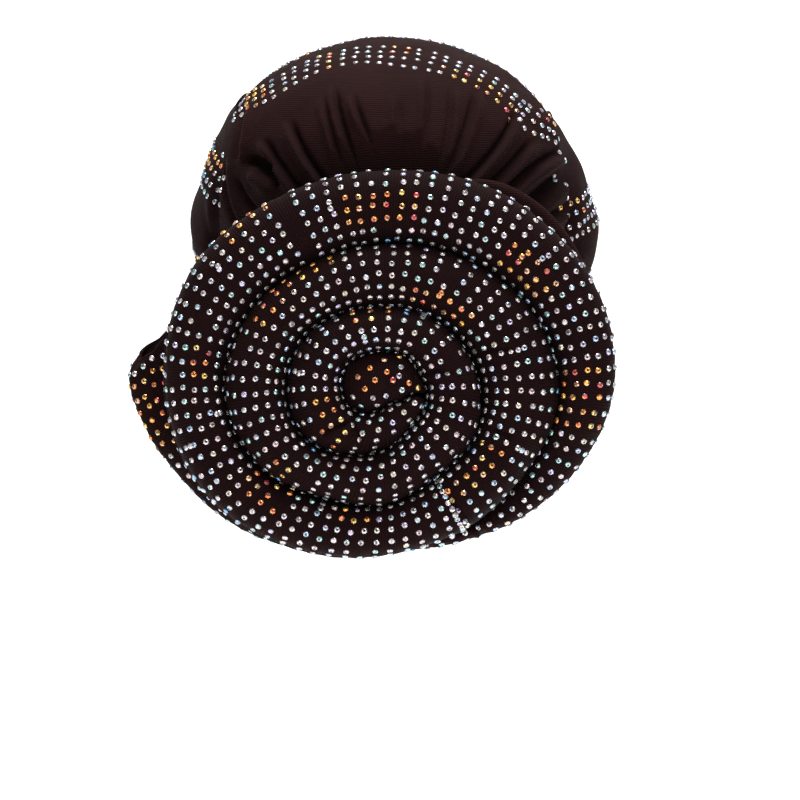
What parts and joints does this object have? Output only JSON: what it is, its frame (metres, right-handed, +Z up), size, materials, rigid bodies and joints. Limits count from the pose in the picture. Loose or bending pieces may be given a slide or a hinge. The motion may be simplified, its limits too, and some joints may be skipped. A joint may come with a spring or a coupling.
{
  "type": "turban cap with a wound rosette",
  "caption": "Hollow knit turban cap with a looser stoned front wrap and a large padded roll wound into a rosette at the back.",
  "frame": {"origin": "centre of the head opening, where the cap sits on a head", "axes": "+Z up, +Y towards the wearer's face, +X towards the wearer's right, so the rosette at the back faces -Y"},
  "size_m": [0.2191, 0.2516, 0.2462],
  "materials": {
    "plain_knit": "matt rib knit",
    "stoned_knit": "matt rib knit with crystal stones",
    "stones": "faceted glass with a rainbow coat"
  },
  "bodies": {
    "root": {"crown": "plain_knit", "front_wrap": "stoned_knit", "rosette_base": "plain_knit", "rosette_roll": "stoned_knit", "rosette_centre": "stoned_knit"}
  },
  "joints": []
}
